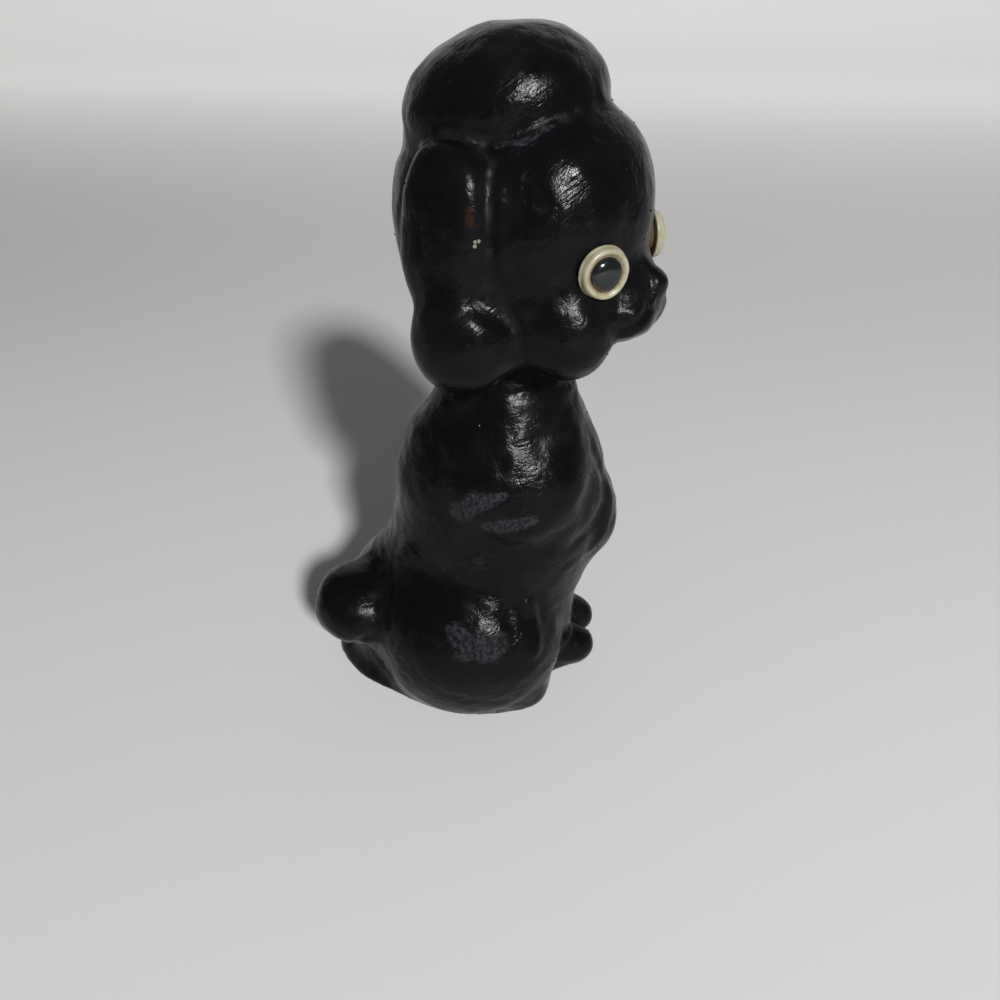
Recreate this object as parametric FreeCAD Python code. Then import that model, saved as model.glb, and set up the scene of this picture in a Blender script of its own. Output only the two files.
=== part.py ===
import FreeCAD, Part
import math
import os

# A seated poodle poured in plaster, painted black, with a stick-on plastic eye on each side of its head.
# Millimetres. +Z is up, the dog's body faces -Y, and its right side is -X. The origin is on the flat
# underside, on the body's midline, below the middle of the sitting figure.

# Torso: one smooth column from the seat up to the neck
seat_height = 13.0
seat_half_width = 22.0
seat_half_depth = 26.0
seat_behind = 3.0
waist_above_seat = 25.0
waist_half_width = 20.5
waist_half_depth = 25.6
waist_forward = 5.5
chest_above_waist = 14.0
chest_half_width = 24.0
chest_half_depth = 26.3
chest_forward = 10.5
shoulder_above_chest = 16.0
shoulder_half_width = 21.8
shoulder_half_depth = 22.0
shoulder_forward = 10.5
neck_above_shoulder = 14.0
neck_half_width = 16.5
neck_half_depth = 15.4
neck_forward = 12.5
neck_buried = 14.0
neck_top_half_width = 13.6
neck_top_half_depth = 13.4
waist_height = seat_height + waist_above_seat
chest_height = waist_height + chest_above_waist
shoulder_height = chest_height + shoulder_above_chest
neck_height = shoulder_height + neck_above_shoulder

# Loin: the full middle of the body, round the waist
loin_half_width = 23.4
loin_half_depth = 25.0
loin_half_height = 23.0
loin_below_waist = 2.0
loin_forward = 8.4

# Tuft of hair on the breast
tuft_half_width = 9.0
tuft_half_depth = 9.6
tuft_half_height = 13.4
tuft_below_chest = 6.0
tuft_reach = 40.0

# Spread of plaster round the bottom of the seat
base_half_width = 25.3
base_half_depth = 33.6
base_half_height = 10.0
base_behind = 3.2

# Rump and thighs
rump_half_width = 23.0
rump_half_depth = 25.5
rump_half_height = 26.2
rump_height = 13.4
rump_behind = 7.4
thigh_half_width = 18.0
thigh_half_depth = 27.1
thigh_half_height = 24.5
thigh_height = 19.2
thigh_offset = 15.2
thigh_forward = 1.3

# Hind feet, front legs and front feet
hind_foot_half_width = 7.0
hind_foot_half_depth = 9.9
hind_foot_half_height = 8.0
hind_foot_height = 3.5
hind_foot_offset = 20.5
hind_foot_forward = 14.7
leg_offset = 5.8
leg_top_radius = 7.0
leg_bottom_radius = 6.0
leg_top_forward = 23.5
leg_bottom_forward = 24.0
front_foot_half_width = 6.8
front_foot_half_depth = 10.3
front_foot_half_height = 6.8
front_foot_height = 5.2
front_foot_forward = 26.5

# Solid plaster left behind and between the front legs, from the floor up into the chest
web_half_width = 12.0
web_half_depth = 13.0
web_rise_share = 0.95
web_forward = 15.0

# Pompon at the end of the tail
tail_half_width = 12.0
tail_half_depth = 12.7
tail_half_height = 11.2
tail_height = 16.6
tail_behind = 27.8
tail_to_right = 6.5

# Head: its centre, and how far it is turned to the dog's right
head_above_neck = 32.0
head_height = neck_height + head_above_neck
head_forward = 15.0
head_to_right = 1.0
head_turn = 22.0
skull_half_width = 23.8
skull_half_depth = 24.6
skull_half_height = 22.8
brow_half_width = 21.5
brow_half_depth = 19.6
brow_half_height = 19.8
brow_forward = 5.4
brow_above = 8.5
nape_half_width = 19.5
nape_half_depth = 23.0
nape_half_height = 21.0
nape_behind = 4.7
nape_above = 6.8

# Topknot: the mound of hair on the crown, tipped back
topknot_half_width = 19.2
topknot_half_depth = 19.5
topknot_half_height = 13.2
topknot_behind = 4.7
topknot_above = 24.4
topknot_tip = 12.0

# Ears: a flat flap on each side, ending in a pompon
ear_half_thickness = 6.4
ear_half_depth = 8.8
ear_half_height = 14.8
ear_offset = 20.6
ear_behind = 4.6
ear_above = 6.1
ear_lean = 9.0
pompon_radius = 10.1
pompon_offset = 22.0
pompon_behind = 2.2
pompon_below = 13.2

# Cheeks, jowls, muzzle with its flews, nose and chin
cheek_radius = 10.2
cheek_offset = 12.0
cheek_forward = 14.2
cheek_below = 11.1
jowl_radius = 7.5
jowl_offset = 15.0
jowl_forward = 5.8
jowl_below = 12.6
muzzle_half_width = 8.4
muzzle_half_depth = 7.0
muzzle_half_height = 7.7
muzzle_forward = 22.6
muzzle_below = 7.8
flew_radius = 5.2
flew_offset = 4.6
flew_forward = 23.5
flew_below = 8.8
nose_half_width = 3.4
nose_half_depth = 3.2
nose_half_height = 3.4
nose_forward = 27.2
nose_below = 4.2
chin_radius = 4.4
chin_forward = 22.2
chin_below = 13.2

# Eyes: where they sit round the head, and which way they look, both from straight ahead
eye_place_angle = 30.8
eye_look_angle = 40.0
eye_above = 1.2

# Eye cup: a flange at the back, a tapered wall, a rounded lip and a shallow dish
cup_flange_radius = 4.9
cup_flange_thickness = 0.45
cup_rim_radius = 4.55
cup_depth = 1.9
cup_lip_width = 0.8
cup_dish_depth = 0.5
cup_dish_radius = 3.3

# Pupil: a low dome on the floor of the dish
pupil_radius = 3.1
pupil_rise = 1.3

# Pad of glue that holds the flat cup off the round head
glue_thickness = 0.9
glue_radius = 3.4
glue_foot_radius = 4.2


def placed(shape, x, y, z):
    shape.translate(FreeCAD.Vector(x, y, z))
    return shape


def ellipsoid(half_width, half_depth, half_height):
    stretch = FreeCAD.Matrix()
    stretch.scale(half_width, half_depth, half_height)
    return Part.makeSphere(1).transformGeometry(stretch)


def ring(half_width, half_depth, forward, height):
    stretch = FreeCAD.Matrix()
    stretch.scale(half_width, half_depth, 1)
    outline = Part.makeCircle(1).transformGeometry(stretch)
    return placed(Part.Wire(outline.Edges), 0, -forward, height)


def both_sides(half_width, half_depth, half_height, offset, y, z):
    left = placed(ellipsoid(half_width, half_depth, half_height), offset, y, z)
    right = placed(ellipsoid(half_width, half_depth, half_height), -offset, y, z)
    return [left, right]


def torso():
    column = Part.makeLoft([
        ring(seat_half_width, seat_half_depth, -seat_behind, seat_height),
        ring(waist_half_width, waist_half_depth, waist_forward, waist_height),
        ring(chest_half_width, chest_half_depth, chest_forward, chest_height),
        ring(shoulder_half_width, shoulder_half_depth, shoulder_forward, shoulder_height),
        ring(neck_half_width, neck_half_depth, neck_forward, neck_height),
        ring(neck_top_half_width, neck_top_half_depth, neck_forward, neck_height + neck_buried),
    ], True)
    tuft = ellipsoid(tuft_half_width, tuft_half_depth, tuft_half_height)
    placed(tuft, 0, tuft_half_depth - tuft_reach, chest_height - tuft_below_chest)
    loin = ellipsoid(loin_half_width, loin_half_depth, loin_half_height)
    placed(loin, 0, -loin_forward, waist_height - loin_below_waist)
    return [column, tuft, loin]


def hindquarters():
    rump = ellipsoid(rump_half_width, rump_half_depth, rump_half_height)
    placed(rump, 0, rump_behind, rump_height)
    thighs = both_sides(thigh_half_width, thigh_half_depth, thigh_half_height,
                        thigh_offset, -thigh_forward, thigh_height)
    feet = both_sides(hind_foot_half_width, hind_foot_half_depth, hind_foot_half_height,
                      hind_foot_offset, -hind_foot_forward, hind_foot_height)
    tail = ellipsoid(tail_half_width, tail_half_depth, tail_half_height)
    placed(tail, -tail_to_right, tail_behind, tail_height)
    base = placed(ellipsoid(base_half_width, base_half_depth, base_half_height), 0, base_behind, 0)
    return [rump, tail, base] + thighs + feet


def front_legs():
    pieces = both_sides(front_foot_half_width, front_foot_half_depth, front_foot_half_height,
                        leg_offset, -front_foot_forward, front_foot_height)
    for side in (-1, 1):
        foot_end = FreeCAD.Vector(side * leg_offset, -leg_bottom_forward, 0)
        body_end = FreeCAD.Vector(side * leg_offset, -leg_top_forward, waist_height)
        run = body_end - foot_end
        pieces.append(Part.makeCone(leg_bottom_radius, leg_top_radius, run.Length, foot_end, run))
    web = ellipsoid(web_half_width, web_half_depth, waist_height * web_rise_share)
    pieces.append(placed(web, 0, -web_forward, 0))
    return pieces


def ear(side):
    flap = ellipsoid(ear_half_thickness, ear_half_depth, ear_half_height)
    flap.rotate(FreeCAD.Vector(0, 0, 0), FreeCAD.Vector(0, 1, 0), -side * ear_lean)
    placed(flap, side * ear_offset, ear_behind, ear_above)
    pompon = placed(Part.makeSphere(pompon_radius), side * pompon_offset, pompon_behind, -pompon_below)
    return [flap, pompon]


def head():
    skull = ellipsoid(skull_half_width, skull_half_depth, skull_half_height)
    brow = ellipsoid(brow_half_width, brow_half_depth, brow_half_height)
    placed(brow, 0, -brow_forward, brow_above)
    nape = ellipsoid(nape_half_width, nape_half_depth, nape_half_height)
    placed(nape, 0, nape_behind, nape_above)
    topknot = ellipsoid(topknot_half_width, topknot_half_depth, topknot_half_height)
    topknot.rotate(FreeCAD.Vector(0, 0, 0), FreeCAD.Vector(1, 0, 0), -topknot_tip)
    placed(topknot, 0, topknot_behind, topknot_above)
    muzzle = ellipsoid(muzzle_half_width, muzzle_half_depth, muzzle_half_height)
    placed(muzzle, 0, -muzzle_forward, -muzzle_below)
    nose = ellipsoid(nose_half_width, nose_half_depth, nose_half_height)
    placed(nose, 0, -nose_forward, -nose_below)
    chin = placed(Part.makeSphere(chin_radius), 0, -chin_forward, -chin_below)
    pieces = [skull, brow, nape, topknot, muzzle, nose, chin]
    for side in (-1, 1):
        pieces += ear(side)
        cheek = Part.makeSphere(cheek_radius)
        pieces.append(placed(cheek, side * cheek_offset, -cheek_forward, -cheek_below))
        jowl = Part.makeSphere(jowl_radius)
        pieces.append(placed(jowl, side * jowl_offset, -jowl_forward, -jowl_below))
        flew = Part.makeSphere(flew_radius)
        pieces.append(placed(flew, side * flew_offset, -flew_forward, -flew_below))
    return [turned_head(piece) for piece in pieces]


def turned_head(piece):
    piece.rotate(FreeCAD.Vector(0, 0, 0), FreeCAD.Vector(0, 0, 1), -head_turn)
    return placed(piece, -head_to_right, -head_forward, head_height)


def casting():
    forms = torso() + hindquarters() + front_legs() + head()
    figure = forms[0].multiFuse(forms[1:])
    reach = figure.BoundBox.DiagonalLength
    under = Part.makeBox(2 * reach, 2 * reach, reach, FreeCAD.Vector(-reach, -reach, -reach))
    return figure.cut(under)


def turned_about_up(x, y, angle):
    turn = math.radians(angle)
    across = x * math.cos(turn) - y * math.sin(turn)
    along = x * math.sin(turn) + y * math.cos(turn)
    return FreeCAD.Vector(across, along, 0)


def head_direction(side, angle):
    ahead = turned_about_up(0, -1, side * angle)
    return turned_about_up(ahead.x, ahead.y, -head_turn)


def eye_frame(figure, side):
    middle = FreeCAD.Vector(-head_to_right, -head_forward, head_height + eye_above)
    outward = head_direction(side, eye_place_angle)
    reach = figure.BoundBox.DiagonalLength
    inside = figure.common(Part.makeLine(middle, middle + outward * reach))
    seat = max((vertex.Point for vertex in inside.Vertexes), key=lambda point: (point - middle).Length)
    look = head_direction(side, eye_look_angle)
    return seat + look * glue_thickness, look


def aimed(shape, place, look):
    shape.Placement = FreeCAD.Placement(place, FreeCAD.Rotation(FreeCAD.Vector(0, 0, 1), look))
    return shape


def turned_profile(edges):
    face = Part.Face(Part.Wire(edges))
    return face.revolve(FreeCAD.Vector(0, 0, 0), FreeCAD.Vector(0, 0, 1), 360)


def point(radius, height):
    return FreeCAD.Vector(radius, 0, height)


def line(start, end):
    return Part.makeLine(start, end)


def eye_cup():
    lip_radius = cup_lip_width / 2
    floor = cup_depth - cup_dish_depth
    outer = point(cup_rim_radius, cup_depth - lip_radius)
    crown = point(cup_rim_radius - lip_radius, cup_depth)
    inner = point(cup_rim_radius - cup_lip_width, cup_depth - lip_radius)
    flange_top = point(cup_flange_radius, cup_flange_thickness)
    wall_foot = point((cup_flange_radius + cup_rim_radius) / 2, cup_flange_thickness)
    return turned_profile([
        line(point(0, 0), point(cup_flange_radius, 0)),
        line(point(cup_flange_radius, 0), flange_top),
        line(flange_top, wall_foot),
        line(wall_foot, outer),
        Part.Arc(outer, crown, inner).toShape(),
        line(inner, point(cup_dish_radius, floor)),
        line(point(cup_dish_radius, floor), point(0, floor)),
        line(point(0, floor), point(0, 0)),
    ])


def pupil():
    floor = cup_depth - cup_dish_depth
    ball_radius = (pupil_radius ** 2 + pupil_rise ** 2) / (2 * pupil_rise)
    half_arc = math.asin(pupil_radius / ball_radius) / 2
    drop = ball_radius * (1 - math.cos(half_arc))
    shoulder = point(ball_radius * math.sin(half_arc), floor + pupil_rise - drop)
    rim = point(pupil_radius, floor)
    top = point(0, floor + pupil_rise)
    return turned_profile([
        line(point(0, floor), rim),
        Part.Arc(rim, shoulder, top).toShape(),
        line(top, point(0, floor)),
    ])


def glue_pad(figure, place, look):
    length = glue_thickness + glue_radius
    pad = Part.makeCone(glue_radius, glue_foot_radius, length, place, -look)
    return pad.cut(figure)


def save(shape, name):
    shape.exportStep(os.path.join("parts", name + ".step"))
    print(name, len(shape.Solids), shape.isValid(), round(shape.Volume))


def main():
    os.makedirs("parts", exist_ok=True)
    figure = casting()
    save(figure, "plaster_casting")
    for side, name in ((-1, "right"), (1, "left")):
        place, look = eye_frame(figure, side)
        save(aimed(eye_cup(), place, look), name + "_eye_cup")
        save(aimed(pupil(), place, look), name + "_pupil")
        save(glue_pad(figure, place, look), name + "_eye_adhesive")
        print(name, "eye at", place)


main()
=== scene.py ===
import math
import bmesh
import bpy
import numpy as np
from mathutils import Matrix, Vector


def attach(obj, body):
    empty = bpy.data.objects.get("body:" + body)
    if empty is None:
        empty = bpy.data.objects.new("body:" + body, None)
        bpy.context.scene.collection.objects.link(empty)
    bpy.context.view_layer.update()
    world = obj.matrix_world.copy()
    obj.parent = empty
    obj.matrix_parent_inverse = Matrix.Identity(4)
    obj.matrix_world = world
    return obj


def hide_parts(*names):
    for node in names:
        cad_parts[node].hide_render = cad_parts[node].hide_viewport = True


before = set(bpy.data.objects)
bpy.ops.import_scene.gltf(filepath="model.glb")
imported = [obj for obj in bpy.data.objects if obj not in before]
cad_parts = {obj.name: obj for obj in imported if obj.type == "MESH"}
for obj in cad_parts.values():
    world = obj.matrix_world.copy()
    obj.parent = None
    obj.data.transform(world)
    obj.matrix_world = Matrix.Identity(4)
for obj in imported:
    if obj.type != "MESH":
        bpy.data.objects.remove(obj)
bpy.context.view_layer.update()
scene = bpy.context.scene
mm = 0.001
tiny = 1e-6                              # keeps a division away from zero
print("frame loaded")

# the photograph's camera: close to the figure, level with its topknot and pitched down
view = {
    "place": (-152.5, -23.4, 159.0),     # mm
    "towards": 5.0,                      # degrees from +X towards +Y
    "pitch": 35.7,                       # degrees below the horizon
    "focalPixels": 740.0,
    "framePixels": 1000.0,
    "sensor": 36.0,
    "nearClip": 0.005,                   # metres
}


def makeCamera(v):
    data = bpy.data.cameras.new("photoCamera")
    data.sensor_width = v["sensor"]
    data.lens = v["sensor"] * v["focalPixels"] / v["framePixels"]
    data.clip_start = v["nearClip"]
    camera = bpy.data.objects.new("photoCamera", data)
    scene.collection.objects.link(camera)
    side, down = math.radians(v["towards"]), math.radians(v["pitch"])
    ahead = Vector((math.cos(side) * math.cos(down), math.sin(side) * math.cos(down), -math.sin(down)))
    camera.location = Vector(v["place"]) * mm
    camera.rotation_mode = "QUATERNION"
    camera.rotation_quaternion = ahead.to_track_quat("-Z", "Y")
    scene.camera = camera


makeCamera(view)


def meshObject(name, points, faces):
    mesh = bpy.data.meshes.new(name)
    mesh.from_pydata(np.asarray(points).tolist(), [], [list(face) for face in faces])
    mesh.update()
    mesh.polygons.foreach_set("use_smooth", [True] * len(mesh.polygons))
    thing = bpy.data.objects.new(name, mesh)
    scene.collection.objects.link(thing)
    return thing


# node helpers: settings are the node's own properties, sockets are its inputs by name or number
def newMaterial(name):
    material = bpy.data.materials.new(name)
    material.use_nodes = True
    material.node_tree.nodes.clear()
    return material, material.node_tree


def addNode(tree, kind, sockets, **settings):
    node = tree.nodes.new(kind)
    for key, value in settings.items():
        setattr(node, key, value)
    for key, value in sockets.items():
        if isinstance(value, bpy.types.NodeSocket):
            tree.links.new(value, node.inputs[key])
        else:
            node.inputs[key].default_value = value
    return node


def objectPlace(tree, scale=1.0, shift=(0, 0, 0)):
    place = addNode(tree, "ShaderNodeTexCoord", {}).outputs["Object"]
    return addNode(tree, "ShaderNodeMapping",
                   {"Vector": place, "Scale": (scale,) * 3, "Location": shift}).outputs[0]


def noise(tree, place, scale, detail=2.0, rough=0.5, warp=0.0):
    return addNode(tree, "ShaderNodeTexNoise", {"Vector": place, "Scale": scale, "Detail": detail,
                                                "Roughness": rough, "Distortion": warp}).outputs["Fac"]


def mapped(tree, value, low, high, start=0.0, end=1.0):
    return addNode(tree, "ShaderNodeMapRange", {"Value": value, "From Min": low, "From Max": high,
                                                "To Min": start, "To Max": end},
                   interpolation_type="SMOOTHSTEP").outputs[0]


def sums(tree, how, a, b):
    return addNode(tree, "ShaderNodeMath", {0: a, 1: b}, operation=how).outputs[0]


def mixed(tree, share, a, b):
    return addNode(tree, "ShaderNodeMix", {0: share, 6: a, 7: b}, data_type="RGBA").outputs[2]


def painted(tree, name):
    return addNode(tree, "ShaderNodeAttribute", {}, attribute_name=name)


def bumped(tree, height, strength, depth, under=None):
    sockets = {"Height": height, "Strength": strength, "Distance": depth}
    if under:
        sockets["Normal"] = under
    return addNode(tree, "ShaderNodeBump", sockets).outputs[0]


def finished(tree, sockets):
    shader = addNode(tree, "ShaderNodeBsdfPrincipled", sockets)
    addNode(tree, "ShaderNodeOutputMaterial", {"Surface": shader.outputs[0]})


studio = {
    "floorColour": (0.66, 0.655, 0.645, 1),
    "floorRough": 0.7,
    "floorSpecular": 0.2,
    "floorHalf": 2.2,                    # metres, as the rest of this list
    "bendRadius": 0.5,
    "bendSteps": 16,
    "wallHeight": 2.0,
    "lampPlace": (-1.25, -0.66, 1.02),
    "lampSize": 0.21,
    "lampPower": 38.0,
    "lampAim": (0.0, 0.0, 0.08),
    "worldStrength": 0.12,
    "wallGlow": 0.67,                    # keeps the far backdrop as pale as the floor
    "glowRamp": (0.15, 1.35),            # where along X the glow starts, and where it is whole
}


def makeFloor(s):
    half, bend = s["floorHalf"], s["bendRadius"]
    profile = [(-half, 0.0)]
    for i in range(s["bendSteps"] + 1):
        a = math.pi / 2 * i / s["bendSteps"]
        profile.append((half - bend + bend * math.sin(a), bend * (1 - math.cos(a))))
    profile.append((half, s["wallHeight"]))
    points = [(x, side * half, z) for x, z in profile for side in (-1, 1)]
    faces = [(2 * i, 2 * i + 2, 2 * i + 3, 2 * i + 1) for i in range(len(profile) - 1)]
    floor = meshObject("floor", points, faces)
    material, tree = newMaterial("paleFloor")
    rays = addNode(tree, "ShaderNodeLightPath", {}).outputs
    seen = sums(tree, "MAXIMUM", rays["Is Camera Ray"], rays["Is Glossy Ray"])
    away = addNode(tree, "ShaderNodeSeparateXYZ", {0: objectPlace(tree)}).outputs["X"]
    glow = sums(tree, "MULTIPLY", seen, mapped(tree, away, *s["glowRamp"], 0.0, s["wallGlow"]))
    finished(tree, {"Base Color": s["floorColour"], "Roughness": s["floorRough"],
                    "Specular IOR Level": s["floorSpecular"],
                    "Emission Color": s["floorColour"], "Emission Strength": glow})
    floor.data.materials.append(material)


def makeLights(s):
    data = bpy.data.lights.new("softLamp", "AREA")
    data.shape = "DISK"
    data.size = s["lampSize"]
    data.energy = s["lampPower"]
    lamp = bpy.data.objects.new("softLamp", data)
    scene.collection.objects.link(lamp)
    lamp.location = s["lampPlace"]
    lamp.rotation_mode = "QUATERNION"
    lamp.rotation_quaternion = (Vector(s["lampAim"]) - Vector(s["lampPlace"])).to_track_quat("-Z", "Y")
    world = bpy.data.worlds.new("roomLight")
    world.use_nodes = True
    world.node_tree.nodes["Background"].inputs["Color"].default_value = (1, 1, 1, 1)
    world.node_tree.nodes["Background"].inputs["Strength"].default_value = s["worldStrength"]
    scene.world = world
    scene.view_settings.view_transform = "Standard"


makeFloor(studio)
makeLights(studio)
print("stage and light set")

# The casting is modelled as soft forms pressed into each other, then carved. Sizes in mm.
# A form: name, centre, half sizes, blend with what is there already, and options: whether it is a
# pair, how it is turned in degrees, and the power that squares it up.
# Head forms are in the head's own frame, which looks along -Y. A pair is made on both sides.
poodle = {
    "cell": 0.75,                        # the modelling grid
    "gridLow": (-39.0, -51.0, -3.0),
    "gridHigh": (39.0, 49.0, 156.0),
    "gridBlock": 4,                      # cells along a block that is looked at once before the fine grid
    "gridNear": 5.0,                     # how far from the surface the grid is fine
    "farAway": 40.0,                     # stands for any greater distance
    "formReach": 6.0,                    # past a form's largest half size it no longer counts
    "settleRounds": 4,                   # evens out the mesh on the finished surface
    "settleShare": 0.6,
    "headCentre": (-1.0, -15.0, 114.0),
    "headTurn": -22.0,
    "headBlend": 2.0,
    "flapBlend": 3.4,
    "baseEdge": 1.2,                     # rounding where the sides meet the flat underside
    "bodyForms": [
        ("chest", (0, -10.2, 54.6), (23.8, 26.2, 28.2), 0, {}),
        ("shoulder", (0, -11.9, 67), (15.5, 15.6, 20.7), 9, {}),
        ("neck", (0, -11.8, 84.4), (13, 13.9, 14.8), 9, {}),
        ("shoulderSlope", (14.6, -15.7, 68.6), (5.8, 13.5, 14.3), 6, {"pair": True, "turn": (0, -33.5, -13)}),
        ("loin", (0, -6.7, 34.8), (22.5, 25.8, 18.6), 10, {}),
        ("tuft", (0, -29.6, 46.5), (9, 10.2, 13.6), 2.5, {}),
        ("rump", (0, 7, 13), (23, 26, 26.9), 8, {}),
        ("seat", (0, 3.5, 0), (25.5, 33.3, 10), 4, {}),
        ("thigh", (15.2, -3.1, 17.1), (19.6, 24.6, 23.8), 5, {"pair": True}),
        ("hindFoot", (20.5, -14.7, 3.5), (7, 9.9, 8), 3, {"pair": True}),
        ("web", (0, -15, 0), (12, 13, 36), 3, {}),
        ("leg", (5.8, -23.2, 20), (7, 7, 24), 4, {"pair": True, "power": 2.6}),
        ("frontFoot", (5.8, -26.5, 5.2), (6.8, 10.3, 6.6), 2, {"pair": True}),
        ("tail", (-13.1, 25.9, 23.3), (12, 11.5, 10.3), 4, {}),
    ],
    "headForms": [
        ("skull", (0, 0.6, 0), (23.8, 24.6, 22.4), 0, {}),
        ("nape", (0, 4.7, 6.8), (19.5, 23, 21), 4, {}),
        ("brow", (0, -5.8, 8.5), (21.5, 19.4, 19.5), 4, {}),
        ("cheek", (12, -14.2, -11.1), (9.7, 10.2, 9.8), 5, {"pair": True}),
        ("jowl", (15, -5.8, -12.6), (7.5, 7.5, 7.5), 2, {"pair": True}),
        ("muzzle", (0, -22.6, -7.6), (8.4, 6.9, 8.1), 4, {}),
        ("flew", (5, -23.7, -9), (5.4, 5.5, 4.7), 2.5, {"pair": True}),
        ("nose", (0, -27.3, -4.2), (3.4, 3, 3.1), 1.2, {}),
        ("topknot", (1, 4.7, 24.2), (19.4, 19.5, 13.5), 2.6, {"turn": (-12, 0, 0)}),
    ],
    "flapForms": [
        ("ear", (20.8, 6.0, 6.6), (5, 9.4, 14.8), 0, {"pair": True, "turn": (0, -9, 17), "power": 2.6}),
        ("pompon", (22, 2.2, -12.8), (9.4, 10.3, 10.6), 4.0, {"pair": True}),
    ],
    # A stroke: name, points along it, width, height (below zero it is a groove), pair
    "headStrokes": [
        ("topknot edge", [(-13.5, 17.2, 21.1), (-17.6, 11.1, 21.5), (-19.5, 5.5, 21.9), (-18.6, 1.6, 21.6),
                          (-17, -2.3, 21.1), (-15.6, -6.6, 22), (-11.7, -11.1, 24), (-6.7, -13.8, 25.8),
                          (-0.3, -14.9, 26.8)], 1.6, -0.35, True),
        ("topknot ledge", [(-17.6, -1.7, 20.2), (-17.3, -3.9, 20.5), (-16.5, -6.1, 21),
                           (-15.3, -8.3, 21.8), (-13.4, -10.1, 22.8), (-11.2, -11.8, 24)], 1.0, 0.75, True),
        ("ear valley", [(-20.2, -2.8, 17.7), (-21.8, -3.4, 15.7), (-22.9, -4, 12), (-23.4, -4.6, 8.1),
                        (-23.3, -5.1, 4.3)], 1.4, -0.6, True),
        ("ear ridge", [(-18.9, -4.2, 18.2), (-20.6, -5.1, 15.6), (-22, -5.6, 12), (-22.8, -5.8, 7.6),
                       (-22.9, -6.3, 3.6), (-22.5, -7.4, -0.2)], 0.9, 0.4, True),
        ("jowl ridge", [(-22, -8.2, -2.4), (-21.7, -9.9, -5.2), (-21.5, -11.4, -8), (-21.4, -11.5, -11.6),
                        (-8.7, -4.4, -21.6), (-10.8, -3.1, -24.2)], 1.1, 0.4, True),
        ("nose edge", [(-2.7, -26.1, -0.1), (-3, -27.6, -2), (-3.7, -28.4, -3.9), (-4.7, -28.5, -5.5)],
         0.9, -0.45, True),
        ("lip ridge", [(-3.2, -28.9, -4.8), (-4.3, -28.9, -6.2), (-6.4, -28.4, -6.7), (-8.7, -27.4, -7.4),
                       (-10.3, -25.6, -7.8)], 0.8, 0.45, True),
        ("mouth", [(-5, -28.7, -6.2), (-6.8, -28.6, -7.5), (-8.2, -28.1, -8.5), (-9.6, -26.6, -9),
                   (-11, -24.8, -9)], 1.1, -1.2, True),
        ("chin edge", [(-8.1, -27.2, -11.4), (-15.7, -23.4, -13.4)], 0.9, 0.3, True),
    ],
    "bodyStrokes": [
        ("bib edge", [(-5.8, -30.7, 73), (-5.8, -33.2, 66.6), (-5.2, -35.4, 59.6), (-6.7, -35.8, 53.9),
                      (-8.9, -34.4, 50.4), (-13.2, -31.5, 49.6), (-17.6, -27.5, 49.8)], 1.3, -0.6, True),
        ("bib lip", [(-2.6, -36, 59.1), (-3.4, -37.6, 54.1), (-4.8, -37.6, 50.2), (-6.8, -36.4, 46.4),
                     (-8, -34.7, 42.5), (-11.7, -31.7, 42.4)], 1.4, 0.5, True),
        ("haunch ridge", [(-22.4, -17.8, 36.6), (-22.6, -19.5, 33.4), (-23.8, -20.9, 29.3),
                          (-26.4, -21.4, 25.8), (-28.7, -20.4, 22.2)], 1.5, 0.8, True),
        ("haunch dent", [(-24.4, -14.1, 36.9), (-26.3, -15, 32.9), (-29.1, -15.2, 29.1), (-31, -14.2, 25.9)],
         1.3, -0.45, True),
        ("tail crease", [(-8.7, 34, 2.4), (-24.7, 24.4, 20.6), (-24.3, 21.6, 21.4), (-24.1, 19, 24.3)],
         1.1, -0.6, False),
    ],
    "strokeSettle": 4,                   # steps that bring a stroke's line onto the surface
    "strokeNear": 3.0,                   # strokes are cut this far around the surface
    "strokeFade": (5, 0.15),             # how fast a stroke sets in from its ends, and what it has there
    # hand work: slow swells and small dimples. Shortest and longest wave, height, seed
    "swell": (8.0, 17.0, 0.11, 4),
    "dimple": (3.4, 6.0, 0.045, 9),
    "waveCount": 40,
    "finePlace": (0, -26.5, -8.0),       # the muzzle gets a finer mesh, in the head's frame
    "fineReach": 8.5,
    "fineMargin": 1.0,
    "fineStep": 0.15,
    "fineRounds": 2,
}


def turnMatrix(x, y, z):
    turns = [Matrix.Rotation(math.radians(a), 3, axis) for a, axis in ((z, "Z"), (y, "Y"), (x, "X"))]
    return np.array(turns[0] @ turns[1] @ turns[2])


def headFrame(p):
    return turnMatrix(0, 0, p["headTurn"]), np.array(p["headCentre"])


def placedForms(forms, turn, centre, sides=None):
    placed = []
    for name, middle, half, blend, options in forms:
        lean = options.get("turn", (0, 0, 0))
        for side in sides or ((-1, 1) if options.get("pair") else (1,)):
            axes = turn @ turnMatrix(lean[0], side * lean[1], side * lean[2])
            place = turn @ (np.array(middle, float) * (side, 1, 1)) + centre
            placed.append((place, np.array(half, float), axes, options.get("power", 2), blend))
    return placed


def formDistance(points, place, half, axes, power):
    local = np.abs((points - place) @ axes) / half + tiny
    if power == 2:
        reach = np.sqrt((local ** 2).sum(-1))
        slope = local / half / reach[:, None]
    else:
        reach = (local ** power).sum(-1) ** (1 / power)
        slope = local ** (power - 1) / half * reach[:, None] ** (1 - power)
    return (reach - 1) / (np.sqrt((slope ** 2).sum(-1)) + tiny)


def softMin(a, b, blend):
    if blend <= 0:
        return np.minimum(a, b)
    share = np.clip(0.5 + 0.5 * (b - a) / blend, 0, 1)
    return b + (a - b) * share - blend * share * (1 - share)


def pressed(points, forms, p):
    total = np.full(len(points), p["farAway"])
    for place, half, axes, power, blend in forms:
        near = ((points - place) ** 2).sum(-1) < (half.max() + blend + p["formReach"]) ** 2
        total[near] = softMin(total[near], formDistance(points[near], place, half, axes, power), blend)
    return total


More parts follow.
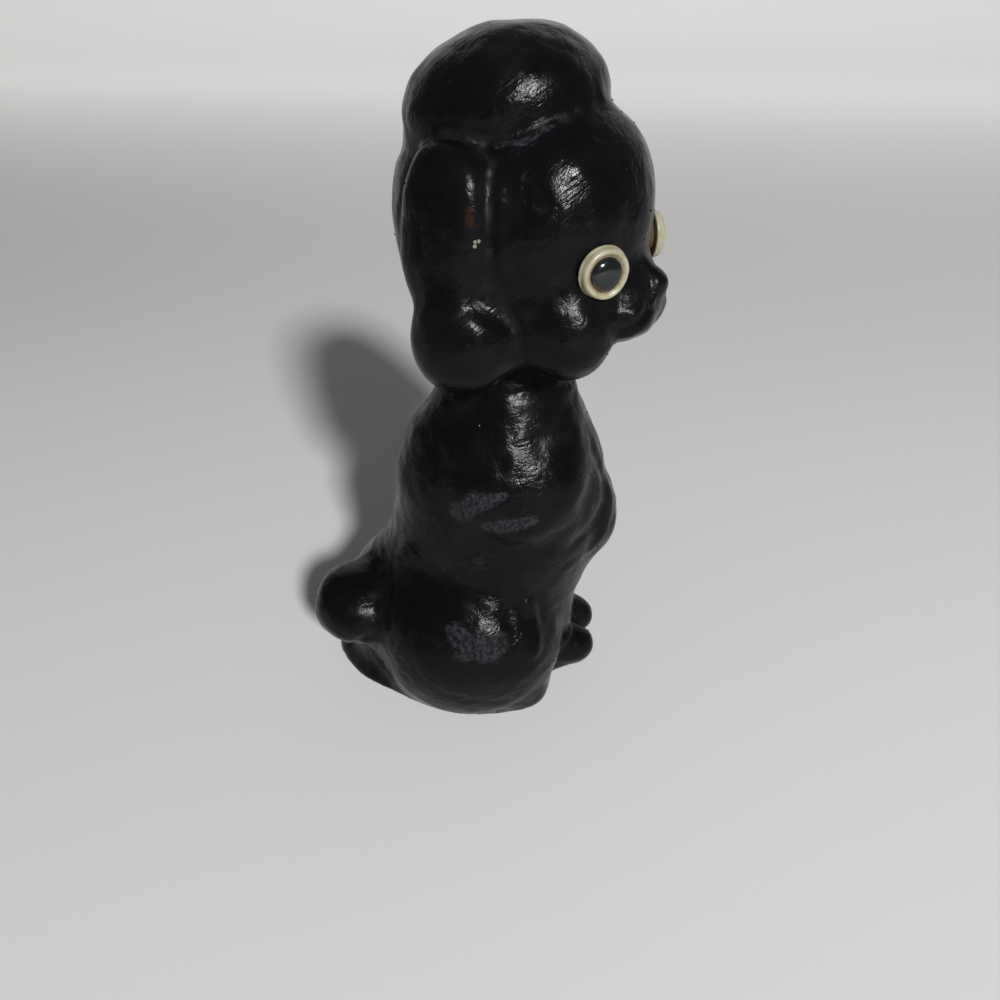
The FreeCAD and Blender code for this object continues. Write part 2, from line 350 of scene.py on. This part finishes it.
def handWaves(shortest, longest, height, seed, count):
    random = np.random.default_rng(seed)
    ways = random.normal(size=(count, 3))
    ways /= np.linalg.norm(ways, axis=1, keepdims=True)
    lengths = random.uniform(shortest, longest, count)
    return ways * (2 * math.pi / lengths)[:, None], random.uniform(0, 2 * math.pi, count), height


def waveHeight(points, waves):
    ways, starts, height = waves
    return np.sin(points @ ways.T + starts).sum(-1) * height / math.sqrt(len(starts) / 2)


def castingField(p):
    headTurn, headCentre = headFrame(p)
    body = placedForms(p["bodyForms"], np.eye(3), np.zeros(3))
    head = placedForms(p["headForms"], headTurn, headCentre)
    flaps = [placedForms(p["flapForms"], headTurn, headCentre, (side,)) for side in (-1, 1)]
    waves = [handWaves(*p[name], p["waveCount"]) for name in ("swell", "dimple")]

    def field(points):
        headPart = pressed(points, head, p)
        for flap in flaps:
            headPart = softMin(headPart, pressed(points, flap, p), p["flapBlend"])
        total = softMin(pressed(points, body, p), headPart, p["headBlend"])
        for wave in waves:
            total = total + waveHeight(points, wave)
        return -softMin(-total, points[:, 2], p["baseEdge"])
    return field


def blockGrid(field, p):
    cell, block = p["cell"], p["gridBlock"]
    low = np.array(p["gridLow"])
    counts = np.ceil((np.array(p["gridHigh"]) - low) / cell / block).astype(int)
    index = np.indices(counts).reshape(3, -1).T
    coarse = field(low + (index * block + (block - 1) / 2) * cell).reshape(counts)
    grid = coarse.astype(np.float64)
    for axis in range(3):
        grid = np.repeat(grid, block, axis=axis)
    near = np.argwhere(np.abs(grid) < p["gridNear"])
    grid[tuple(near.T)] = field(low + near * cell)
    return grid, low


def sampler(grid, low, cell):
    top = np.array(grid.shape) - 2

    def at(points):
        scaled = (points - low) / cell
        first = np.clip(np.floor(scaled).astype(int), 0, top)
        share = scaled - first
        total = np.zeros(len(points))
        for corner in np.ndindex(2, 2, 2):
            weight = np.prod(np.where(np.array(corner) == 1, share, 1 - share), axis=1)
            total += weight * grid[tuple((first + corner).T)]
        return total
    return at


def slopeOf(at, points, step):
    slope = np.zeros_like(points)
    for axis in range(3):
        shift = np.zeros(3)
        shift[axis] = step
        slope[:, axis] = (at(points + shift) - at(points - shift)) / (2 * step)
    return slope


def ontoSurface(at, points, step, rounds=1):
    for i in range(rounds):
        slope = slopeOf(at, points, step)
        points = points - slope * (at(points) / ((slope ** 2).sum(-1) + tiny))[:, None]
    return points


def smoothLine(points, rounds=2):
    line = np.array(points, float)
    for i in range(rounds):
        near = line[:-1] * 0.75 + line[1:] * 0.25
        far = line[:-1] * 0.25 + line[1:] * 0.75
        line = np.concatenate([line[:1], np.stack([near, far], 1).reshape(-1, 3), line[-1:]])
    return line


def placedStrokes(p, at):
    headTurn, headCentre = headFrame(p)
    placed = []
    for group, turn, centre in (("headStrokes", headTurn, headCentre),
                                ("bodyStrokes", np.eye(3), np.zeros(3))):
        for name, points, width, height, pair in p[group]:
            for side in (1, -1) if pair else (1,):
                line = smoothLine(points) * (side, 1, 1) @ turn.T + centre
                placed.append((ontoSurface(at, line, p["cell"], p["strokeSettle"]), width, height))
    return placed


def gapTo(points, start, end):
    # how far along the straight piece the nearest place is, and the square of the distance to it
    along = end - start
    t = np.clip(((points - start) @ along) / (along @ along), 0, 1)
    return t, ((points - start - t[:, None] * along) ** 2).sum(-1)


def strokeHeight(points, strokes, p):
    gain, least = p["strokeFade"]
    lift = np.zeros(len(points))
    for line, width, height in strokes:
        margin = 3 * width               # past it a stroke has faded away
        near = ((points > line.min(0) - margin) & (points < line.max(0) + margin)).all(1)
        local = points[near]
        if len(local) == 0:
            continue
        best = np.full(len(local), np.inf)
        where = np.zeros(len(local))
        pieces = len(line) - 1
        for i in range(pieces):
            t, gap = gapTo(local, line[i], line[i + 1])
            closer = gap < best
            where = np.where(closer, (i + t) / pieces, where)
            best = np.where(closer, gap, best)
        fade = np.clip(np.minimum(where, 1 - where) * gain + least, 0, 1)
        lift[near] += height * fade * np.exp(-best / width ** 2)
    return lift


def surfaceNet(grid, low, cell):
    inside = grid < 0
    shape = np.array(grid.shape)
    corners = list(np.ndindex(2, 2, 2))
    windows = [inside[tuple(slice(c[k], c[k] + shape[k] - 1) for k in range(3))] for c in corners]
    total = sum(window.astype(np.int8) for window in windows)
    active = np.argwhere((total > 0) & (total < 8))
    index = np.full(shape - 1, -1, np.int64)
    index[tuple(active.T)] = np.arange(len(active))
    values = np.stack([grid[tuple((active + c).T)] for c in corners], 1)
    place, hits = np.zeros((len(active), 3)), np.zeros(len(active))
    for a in range(8):
        for b in range(a + 1, 8):
            if np.abs(np.subtract(corners[a], corners[b])).sum() != 1:
                continue
            crosses = (values[:, a] < 0) != (values[:, b] < 0)
            drop = np.where(crosses, values[:, a] - values[:, b], 1)
            t = np.where(crosses, values[:, a] / drop, 0)[:, None]
            between = np.array(corners[a]) * (1 - t) + np.array(corners[b]) * t
            place += np.where(crosses[:, None], between, 0)
            hits += crosses
    points = (active + place / hits[:, None]) * cell + low
    quads = []
    for axis in range(3):
        u, v = (axis + 1) % 3, (axis + 2) % 3
        here = tuple(slice(0, shape[k] - 1) if k == axis else slice(1, shape[k] - 1) for k in range(3))
        there = tuple(slice(1, shape[k]) if k == axis else slice(1, shape[k] - 1) for k in range(3))
        cross = np.argwhere(inside[here] != inside[there])
        leaving = inside[here][tuple(cross.T)]
        stepU, stepV = np.eye(3, dtype=int)[u], np.eye(3, dtype=int)[v]
        corner = cross + stepU + stepV
        ring = [corner - stepU - stepV, corner - stepV, corner, corner - stepU]
        quad = np.stack([index[tuple(r.T)] for r in ring], 1)
        quads.append(np.where(leaving[:, None], quad, quad[:, ::-1]))
    return points, np.concatenate(quads)


def edgePairs(faces):
    ends = np.stack([faces.reshape(-1), np.roll(faces, -1, axis=1).reshape(-1)], 1)
    return np.unique(np.sort(ends, axis=1), axis=0)


def neighbourMean(count, pairs):
    degree = np.bincount(pairs.reshape(-1), minlength=count)

    def mean(values):
        total = np.zeros_like(values)
        for k in range(values.shape[1]):
            total[:, k] = (np.bincount(pairs[:, 0], values[pairs[:, 1], k], count)
                           + np.bincount(pairs[:, 1], values[pairs[:, 0], k], count))
        return total / degree[:, None]
    return mean


def sculptCasting(p):
    cell, share = p["cell"], p["settleShare"]
    field = castingField(p)
    grid, low = blockGrid(field, p)
    strokes = placedStrokes(p, sampler(grid, low, cell))
    near = np.argwhere(np.abs(grid) < p["strokeNear"])
    grid[tuple(near.T)] -= strokeHeight(low + near * cell, strokes, p)

    def carved(points):
        return field(points) - strokeHeight(points, strokes, p)
    at = sampler(grid, low, cell)
    points, quads = surfaceNet(grid, low, cell)
    mean = neighbourMean(len(points), edgePairs(quads))
    for i in range(p["settleRounds"]):
        points = ontoSurface(at, points * (1 - share) + mean(points) * share, cell / 2)
    return points, quads, carved


def refineMuzzle(thing, p, carved):
    headTurn, headCentre = headFrame(p)
    middle = headTurn @ np.array(p["finePlace"]) + headCentre
    mesh = bmesh.new()
    mesh.from_mesh(thing.data)

    def gap(vertex):
        return np.linalg.norm(np.array(vertex.co) / mm - middle)
    edges = [edge for edge in mesh.edges if all(gap(vertex) < p["fineReach"] for vertex in edge.verts)]
    bmesh.ops.subdivide_edges(mesh, edges=edges, cuts=1, use_grid_fill=True)
    mesh.verts.ensure_lookup_table()
    points = np.array([v.co for v in mesh.verts]) / mm
    fine = np.nonzero(((points - middle) ** 2).sum(-1) < (p["fineReach"] + p["fineMargin"]) ** 2)[0]
    points[fine] = ontoSurface(carved, points[fine], p["fineStep"], p["fineRounds"])
    for i in fine:
        mesh.verts[i].co = points[i] * mm
    for face in mesh.faces:
        face.smooth = True
    mesh.to_mesh(thing.data)
    mesh.free()


def paintAttribute(thing, name, values):
    kind = "FLOAT_VECTOR" if values.ndim == 2 else "FLOAT"
    layer = thing.data.attributes.new(name, kind, "POINT")
    layer.data.foreach_set("vector" if values.ndim == 2 else "value", values.astype(np.float32).ravel())


# worn places, in mm in the part's frame. A rub: points along its middle, its radius at each, strength.
# A chip: its place and its radius
wear = {
    "rubs": [
        ([(-22.6, -2.7, 61.4), (-24, -6.9, 64.9), (-23.6, -13, 67.1)], [2.6, 2.8, 1.1], 1.0),
        ([(-24.7, -8.7, 59.3), (-25.3, -13.4, 60.1), (-23.9, -19.6, 61.1)], [1.3, 2.2, 1.3], 1.0),
        ([(-30.1, -1.3, 32.3), (-31.9, -5.3, 29.1), (-31.5, -10.9, 27.8),
          (-29.6, -13.4, 30.1)], [2.4, 5.2, 4.6, 1.8], 0.8),
        ([(-22.1, 0.5, 45.4), (-23.6, -9.8, 48.3)], [3.5, 4.0], 0.5),
        ([(-17.9, -11.1, 134.7), (-18.4, -15.8, 135.5), (-16.4, -20.3, 137.6)], [0.8, 0.9, 0.7], 1.0),
        ([(31.5, 2.0, 24.0), (31.0, -5.0, 22.0)], [5.0, 5.5], 0.85),
        ([(22.5, -4.0, 58.0), (22.5, -14.0, 60.0)], [2.0, 2.6], 0.9),
    ],
    "bareChips": [((-24.9, -6.8, 125.8), 0.66), ((-25, -6.9, 125), 0.78), ((-25.1, -7.1, 124.3), 0.66)],
    "paleChips": [((-25.2, -8.2, 120.4), 0.36), ((-25.3, -7.9, 121.1), 0.3), ((-25.1, -8.6, 121), 0.3),
                  ((-16.4, -7, 79.7), 0.15), ((-8.3, 14.6, 51.8), 0.35)],
    "rubEdge": 1.5,                      # a rub has faded out at this many radii
    "hollowRounds": 14,                  # how much the surface is smoothed to find its hollows
    "hollowDepth": 0.35,                 # mm, a full hollow
    "headStarts": (88, 4),               # mm above the base, and over how much the brush turns there
    "brushLean": 0.12,                   # of the strokes round the body
    "brushSlant": 0.7,                   # of the strokes across the head
    "brushLength": 5.5,                  # mm along one bristle's track
    "brushWidth": 0.75,
    "brushDeep": 6.0,
}


def paintWear(thing, p, w):
    count = len(thing.data.vertices)
    flat = np.zeros(count * 3)
    thing.data.vertices.foreach_get("co", flat)
    points = flat.reshape(-1, 3) / mm
    thing.data.vertices.foreach_get("normal", flat)
    normals = flat.reshape(-1, 3)
    edges = np.zeros(len(thing.data.edges) * 2, int)
    thing.data.edges.foreach_get("vertices", edges)
    mean = neighbourMean(count, edges.reshape(-1, 2))
    smooth = points.copy()
    for i in range(w["hollowRounds"]):
        smooth = mean(smooth)
    hollow = ((smooth - points) * normals).sum(-1)
    paintAttribute(thing, "hollow", np.clip(hollow / w["hollowDepth"], -1, 1))
    rub = np.zeros(count)
    for line, radii, strength in w["rubs"]:
        line = np.array(line)
        for i in range(len(line) - 1):
            t, gap = gapTo(points, line[i], line[i + 1])
            share = np.sqrt(gap) / (radii[i] * (1 - t) + radii[i + 1] * t)
            rub = np.maximum(rub, strength * np.clip(w["rubEdge"] - share, 0, 1))
    paintAttribute(thing, "rub", rub)
    headTurn, headCentre = headFrame(p)
    local = (points - headCentre) @ headTurn
    start, turning = w["headStarts"]
    onHead = np.clip((points[:, 2] - start) / turning, 0, 1)
    lean, slant = w["brushLean"], w["brushSlant"]
    # the brush runs round the body, and slants up and forward across the head
    onBody = 1 - onHead
    across = (points[:, 2] + lean * points[:, 1]) * onBody + (local[:, 1] + local[:, 2]) * slant * onHead
    along = points[:, 1] * onBody + (local[:, 2] - local[:, 1]) * slant * onHead
    brush = np.stack([along / w["brushLength"], across / w["brushWidth"], points[:, 0] / w["brushDeep"]], 1)
    paintAttribute(thing, "brush", brush)


enamel = {
    "black": (0.0028, 0.0028, 0.0034, 1),
    "worn": (0.0065, 0.0068, 0.008, 1),
    "rubbed": (0.030, 0.032, 0.036, 1),
    "dust": (0.022, 0.018, 0.013, 1),
    "bare": (0.019, 0.0062, 0.0045, 1),
    "pale": (0.32, 0.29, 0.24, 1),
    "chip": (0.17, 0.155, 0.125, 1),
    "gloss": 0.175,                      # roughness of the best paint, and how much it varies
    "glossSpread": 0.12,
    "dull": 0.52,                        # of rubbed or dusty paint
    "plasterDull": 0.8,
    "specular": 0.1,
    # noises, in mm: scale, detail, roughness, warp
    "slow": (0.09, 3),
    "patch": (0.32, 4, 0.6, 0.6),
    "grain": (2.6, 3, 0.65),
    "speck": (1.15, 5, 0.75),
    "tracks": (1.0, 2, 0.6),
    "brushedWhere": (0.055, 2),
    # ramps: from, to, and what they give at either end
    "rubRamp": (1.0, 1.5),
    "rubBreak": 1.2,                     # how far the patches break up a rub's edge
    "rubSpeck": (0.40, 0.62, 0.12, 1.0),
    "rubShare": 0.8,
    "dustHollow": (0.3, 1.0),
    "dustPatch": (0.35, 0.7),
    "dustShare": 0.3,
    "wornRamp": (0.45, 0.75, 0.0, 0.6),
    "chipRamp": (1.75, 1.6),
    "chipBreak": 1.4,
    "underRamp": (0.42, 0.34),           # mm above the ground, where the bare underside ends
    "underBreak": 0.5,
    "shineSlow": 0.5,
    "shineRamp": (0.55, 1.0),
    "brushedRamp": (0.38, 0.62, 0.25, 1.0),
    # bumps: strength, and depth in metres
    "trackBump": (0.44, 0.00022),
    "patchBump": (0.42, 0.0006),
    "grainBump": (0.30, 0.00008),
}


def plus(tree, base, extra, share):
    # a ragged edge: the base with a share of a noise on top
    return sums(tree, "ADD", base, sums(tree, "MULTIPLY", extra, share))


def nearSpot(tree, e, place, radius, edge):
    # 1 inside a small spot with a broken edge, 0 outside
    local = objectPlace(tree, shift=[-c * mm for c in place])
    length = addNode(tree, "ShaderNodeVectorMath", {0: local}, operation="LENGTH").outputs["Value"]
    gap = plus(tree, sums(tree, "DIVIDE", length, radius * mm), edge, e["chipBreak"])
    return mapped(tree, gap, *e["chipRamp"])


def onSurface(thing, spots):
    flat = np.zeros(len(thing.data.vertices) * 3)
    thing.data.vertices.foreach_get("co", flat)
    points = flat.reshape(-1, 3) / mm
    return [(points[((points - place) ** 2).sum(-1).argmin()].tolist(), radius) for place, radius in spots]


def enamelMaterial(e, w, thing):
    material, tree = newMaterial("blackEnamel")
    place = objectPlace(tree, 1 / mm)
    slow, patch, grain, speck = [noise(tree, place, *e[name]) for name in ("slow", "patch", "grain", "speck")]
    hollow, rub = [painted(tree, name).outputs["Fac"] for name in ("hollow", "rub")]
    rubbed = mapped(tree, plus(tree, rub, patch, e["rubBreak"]), *e["rubRamp"])
    rubbed = sums(tree, "MULTIPLY", rubbed, mapped(tree, speck, *e["rubSpeck"]))
    dusty = sums(tree, "MULTIPLY", mapped(tree, hollow, *e["dustHollow"]),
                 mapped(tree, patch, *e["dustPatch"]))
    colour = mixed(tree, mapped(tree, slow, *e["wornRamp"]), e["black"], e["worn"])
    colour = mixed(tree, sums(tree, "MULTIPLY", dusty, e["dustShare"]), colour, e["dust"])
    colour = mixed(tree, sums(tree, "MULTIPLY", rubbed, e["rubShare"]), colour, e["rubbed"])
    for group, tone in (("bareChips", "bare"), ("paleChips", "chip")):
        for spot, radius in onSurface(thing, w[group]):
            colour = mixed(tree, nearSpot(tree, e, spot, radius, speck), colour, e[tone])
    # the flat underside is bare plaster
    height = addNode(tree, "ShaderNodeSeparateXYZ", {0: place}).outputs["Z"]
    under = mapped(tree, plus(tree, height, patch, e["underBreak"]), *e["underRamp"])
    colour = mixed(tree, under, colour, e["pale"])
    shine = mapped(tree, plus(tree, patch, slow, e["shineSlow"]), *e["shineRamp"],
                   e["gloss"], e["gloss"] + e["glossSpread"])
    dull = addNode(tree, "ShaderNodeMix", {0: sums(tree, "MAXIMUM", rubbed, dusty), 2: shine, 3: e["dull"]},
                   data_type="FLOAT").outputs[0]
    dull = sums(tree, "MAXIMUM", dull, sums(tree, "MULTIPLY", under, e["plasterDull"]))
    tracks = noise(tree, painted(tree, "brush").outputs["Vector"], *e["tracks"])
    brushed = mapped(tree, noise(tree, place, *e["brushedWhere"]), *e["brushedRamp"])
    surface = bumped(tree, sums(tree, "MULTIPLY", tracks, brushed), *e["trackBump"])
    surface = bumped(tree, patch, *e["patchBump"], surface)
    surface = bumped(tree, grain, *e["grainBump"], surface)
    finished(tree, {"Base Color": colour, "Roughness": dull, "Normal": surface,
                    "Specular IOR Level": e["specular"]})
    return material


points, quads, carved = sculptCasting(poodle)
casting = meshObject("plasterCasting", points * mm, quads)
refineMuzzle(casting, poodle, carved)
paintWear(casting, poodle, wear)
casting.data.materials.append(enamelMaterial(enamel, wear, casting))
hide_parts("plaster_casting")
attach(casting, "root")
print("casting sculpted,", len(casting.data.polygons), "faces")

# stick-on eyes: a turned cup of cream plastic, a black dome in it, and a blob of dried glue behind
eye = {
    "lookAngle": 40.0,                   # from straight ahead, either side of the head's turn
    "turnedSteps": 72,
    "cupProfile": [(0, 0.02), (4.55, 0), (4.85, 0.1), (4.9, 0.32), (4.78, 0.5), (4.66, 0.62), (4.6, 1.1),
                   (4.5, 1.55), (4.25, 1.84), (3.95, 1.9), (3.7, 1.78), (3.5, 1.55), (3.3, 1.42), (3.0, 1.4),
                   (1.5, 1.4), (0, 1.4)],
    "pupilProfile": [(0, 1.3), (2.8, 1.3), (3.08, 1.36), (3.14, 1.5), (3.04, 1.78), (2.72, 2.12), (2.2, 2.4),
                     (1.5, 2.6), (0.75, 2.69), (0, 2.71)],
    "uneven": 0.012,                     # how far a turned ring strays from a circle
    "unevenWaves": (2, 9),               # the fewest waves round a ring, and one past the most
    "seed": 7,
    "cupWell": (3.6, 1.0),               # inside this radius and above this height the cup is darkened as painted shade
    "cupBack": 0.55,                     # and below this height
    "cupShade": (0.75, 0.45),            # how much painted shade there, in the well and at the back
    "pupilGrime": (1.8, 1.1),            # from this radius, and over how much it becomes full
    "pupilGrimeLow": (0.55, 4.0),        # at the middle, and over how many mm downwards it gains 1
}


def turnedPiece(profile, e, seed):
    steps, random = e["turnedSteps"], np.random.default_rng(seed)
    waves = [(k, random.normal() / k, random.uniform(0, 2 * math.pi)) for k in range(*e["unevenWaves"])]
    points = []
    for radius, height in profile[1:-1]:
        for j in range(steps):
            a = 2 * math.pi * j / steps
            swell = 1 + e["uneven"] * sum(size * math.sin(k * a + start) for k, size, start in waves)
            points.append((radius * swell * math.cos(a), radius * swell * math.sin(a), height))
    rings = len(profile) - 2
    faces = []
    for i in range(rings - 1):
        for j in range(steps):
            k = (j + 1) % steps
            faces.append((i * steps + j, i * steps + k, (i + 1) * steps + k, (i + 1) * steps + j))
    first, last = len(points), len(points) + 1
    points += [(0, 0, profile[0][1]), (0, 0, profile[-1][1])]
    for j in range(steps):
        k = (j + 1) % steps
        faces.append((first, k, j))
        faces.append((last, (rings - 1) * steps + j, (rings - 1) * steps + k))
    return np.array(points, float), faces


def eyeFrame(side, p, e):
    angle = math.radians(p["headTurn"] + side * e["lookAngle"])
    look = np.array((math.sin(angle), -math.cos(angle), 0))
    name = ("right" if side < 0 else "left") + "_eye_cup"
    cup = np.array([v.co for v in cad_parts[name].data.vertices]) / mm
    across = np.cross((0, 0, 1), look)
    middles = [(cup @ axis).min() / 2 + (cup @ axis).max() / 2 for axis in (across, np.array((0, 0, 1)))]
    place = across * middles[0] + np.array((0, 0, middles[1])) + look * (cup @ look).min()
    return place, np.stack([across, np.cross(look, across), look], 1)


plastic = {
    "cream": (0.255, 0.24, 0.145, 1),
    "pale": (0.33, 0.315, 0.225, 1),
    # brown: painted shade in the cup's dish and at its back, and a stain on the pupil's edge
    "brownShadeAndStain": (0.15, 0.095, 0.04, 1),
    "black": (0.006, 0.007, 0.008, 1),
    "amber": (0.10, 0.055, 0.018, 1),
    # noises, in mm: scale, detail, roughness
    "cupCloud": (0.5, 4, 0.6),
    "cupFine": (2.4, 4, 0.65),
    "pupilFine": (1.6, 4, 0.6),
    "glueCloud": (0.9, 4, 0.6),
    # ramps: from, to, and what they give at either end
    "cupRamp": (0.35, 0.65),
    "cupShade": (0.85, 1.35),
    "cupShadeBreak": 0.9,
    "cupShadeShare": 0.85,
    "cupShine": (0.0, 1.0, 0.34, 0.65),
    "cupDepth": (0.12, 0.001),           # light goes into the plastic: share, and how far in metres
    "pupilGrime": (1.0, 1.4),
    "pupilGrimeBreak": 0.7,
    "pupilGrimeShare": 0.8,
    "pupilShine": (0.35, 0.75, 0.10, 0.22),
    "glueRamp": (0.35, 0.7),
    "glueShine": 0.35,
    # bumps: strength, and depth in metres
    "cupBump": (0.25, 0.0001),
    "pupilBump": (0.12, 0.0001),
    "glueBump": (0.4, 0.0004),
}


def creamMaterial(c):
    material, tree = newMaterial("creamPlastic")
    place = objectPlace(tree, 1 / mm)
    cloud, fine = noise(tree, place, *c["cupCloud"]), noise(tree, place, *c["cupFine"])
    colour = mixed(tree, mapped(tree, cloud, *c["cupRamp"]), c["cream"], c["pale"])
    # painted shade: the cup turns brown and a little rougher in its dish and at its back
    shadeAndStain = painted(tree, "shadeAndStain").outputs["Fac"]
    shadeAndStain = mapped(tree, plus(tree, shadeAndStain, fine, c["cupShadeBreak"]), *c["cupShade"])
    colour = mixed(tree, sums(tree, "MULTIPLY", shadeAndStain, c["cupShadeShare"]), colour, c["brownShadeAndStain"])
    finished(tree, {"Base Color": colour, "Roughness": mapped(tree, shadeAndStain, *c["cupShine"]),
                    "Normal": bumped(tree, fine, *c["cupBump"]),
                    "Subsurface Weight": c["cupDepth"][0], "Subsurface Scale": c["cupDepth"][1]})
    return material


def pupilMaterial(c):
    material, tree = newMaterial("pupilPlastic")
    fine = noise(tree, objectPlace(tree, 1 / mm), *c["pupilFine"])
    shadeAndStain = painted(tree, "shadeAndStain").outputs["Fac"]
    shadeAndStain = mapped(tree, plus(tree, shadeAndStain, fine, c["pupilGrimeBreak"]), *c["pupilGrime"])
    colour = mixed(tree, sums(tree, "MULTIPLY", shadeAndStain, c["pupilGrimeShare"]), c["black"], c["brownShadeAndStain"])
    finished(tree, {"Base Color": colour, "Roughness": mapped(tree, fine, *c["pupilShine"]),
                    "Normal": bumped(tree, fine, *c["pupilBump"])})
    return material


def glueMaterial(c):
    material, tree = newMaterial("driedGlue")
    cloud = noise(tree, objectPlace(tree, 1 / mm), *c["glueCloud"])
    colour = mixed(tree, mapped(tree, cloud, *c["glueRamp"]), c["amber"], c["black"])
    finished(tree, {"Base Color": colour, "Roughness": c["glueShine"],
                    "Normal": bumped(tree, cloud, *c["glueBump"])})
    return material


def makeEyes(p, e, c):
    cream, black, glue = creamMaterial(c), pupilMaterial(c), glueMaterial(c)
    wellRadius, wellHeight = e["cupWell"]
    inWell, atBack = e["cupShade"]
    grimeStart, grimeWidth = e["pupilGrime"]
    middle, fall = e["pupilGrimeLow"]
    for side, sideName in ((-1, "right"), (1, "left")):
        place, axes = eyeFrame(side, p, e)
        for part, profile, slotName, material in (("eye_cup", e["cupProfile"], "cream_plastic", cream),
                                                  ("pupil", e["pupilProfile"], "pupil_plastic", black)):
            local, faces = turnedPiece(profile, e, e["seed"] + side)
            radius = np.hypot(local[:, 0], local[:, 1])
            thing = meshObject(sideName + part.title().replace("_", ""), (local @ axes.T + place) * mm, faces)
            if part == "eye_cup":
                # painted shade: the cup is darkened in its dish round the pupil and at its back by the head
                shadeAndStain = np.where((radius < wellRadius) & (local[:, 2] > wellHeight), inWell, 0.0)
                shadeAndStain = shadeAndStain + atBack * (local[:, 2] < e["cupBack"])
            else:
                # a brown stain along the pupil's lower edge
                shadeAndStain = np.clip((radius - grimeStart) / grimeWidth, 0, 1)
                shadeAndStain = shadeAndStain * np.clip(middle - local[:, 1] / fall, 0, 1)
            paintAttribute(thing, "shadeAndStain", shadeAndStain)
            thing.data.materials.append(material)
            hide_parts(sideName + "_" + part)
            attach(thing, "root")
        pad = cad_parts[sideName + "_eye_adhesive"]
        pad.data.materials.clear()
        pad.data.materials.append(glue)


makeEyes(poodle, eye, plastic)
print("eyes made")

# lint and bits of grit caught under the paint
grit = {
    "density": 9000.0,                   # per square metre
    "smallest": 0.09,                    # radius in mm
    "largest": 0.26,
    "seed": 5,
    "turnSeed": 3,
    "largestTurn": 6.3,                  # radians
    "roundness": 2,                      # subdivisions of a grain
}


def gritTree(g, material):
    tree = bpy.data.node_groups.new("gritUnderPaint", "GeometryNodeTree")
    tree.interface.new_socket("Surface", in_out="INPUT", socket_type="NodeSocketGeometry")
    for name, kind in (("Density", "NodeSocketFloat"), ("Smallest", "NodeSocketFloat"),
                       ("Largest", "NodeSocketFloat"), ("Seed", "NodeSocketInt")):
        tree.interface.new_socket(name, in_out="INPUT", socket_type=kind)
    tree.interface.new_socket("Grit", in_out="OUTPUT", socket_type="NodeSocketGeometry")
    given = addNode(tree, "NodeGroupInput", {}).outputs
    spread = addNode(tree, "GeometryNodeDistributePointsOnFaces",
                     {"Mesh": given["Surface"], "Density": given["Density"], "Seed": given["Seed"]})
    grain = addNode(tree, "GeometryNodeMeshIcoSphere", {"Radius": 1.0, "Subdivisions": g["roundness"]})
    size = addNode(tree, "FunctionNodeRandomValue",
                   {2: given["Smallest"], 3: given["Largest"], "Seed": given["Seed"]})
    turn = addNode(tree, "FunctionNodeRandomValue",
                   {0: (0, 0, 0), 1: (g["largestTurn"],) * 3, "Seed": g["turnSeed"]},
                   data_type="FLOAT_VECTOR")
    grains = addNode(tree, "GeometryNodeInstanceOnPoints",
                     {"Points": spread.outputs["Points"], "Instance": grain.outputs["Mesh"],
                      "Scale": size.outputs[1], "Rotation": turn.outputs[0]})
    made = addNode(tree, "GeometryNodeRealizeInstances", {"Geometry": grains.outputs[0]})
    coated = addNode(tree, "GeometryNodeSetMaterial", {"Geometry": made.outputs[0], "Material": material})
    addNode(tree, "NodeGroupOutput", {"Grit": coated.outputs[0]})
    return tree


def makeGrit(g, surface, material):
    tree = gritTree(g, material)
    carrier = bpy.data.objects.new("gritCarrier", surface.data.copy())
    scene.collection.objects.link(carrier)
    modifier = carrier.modifiers.new("grit", "NODES")
    modifier.node_group = tree
    values = {"Density": g["density"], "Smallest": g["smallest"] * mm, "Largest": g["largest"] * mm,
              "Seed": g["seed"]}
    for item in tree.interface.items_tree:
        if item.in_out == "INPUT" and item.name in values:
            modifier[item.identifier] = values[item.name]
    bpy.context.view_layer.update()
    ready = carrier.evaluated_get(bpy.context.evaluated_depsgraph_get())
    mesh = bpy.data.meshes.new_from_object(ready)
    grains = bpy.data.objects.new("paintGrit", mesh)
    scene.collection.objects.link(grains)
    mesh.polygons.foreach_set("use_smooth", [True] * len(mesh.polygons))
    bpy.data.objects.remove(carrier)
    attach(grains, "root")
    return grains


paintGrit = makeGrit(grit, casting, casting.data.materials[0])
print("grit scattered,", len(paintGrit.data.polygons), "faces")
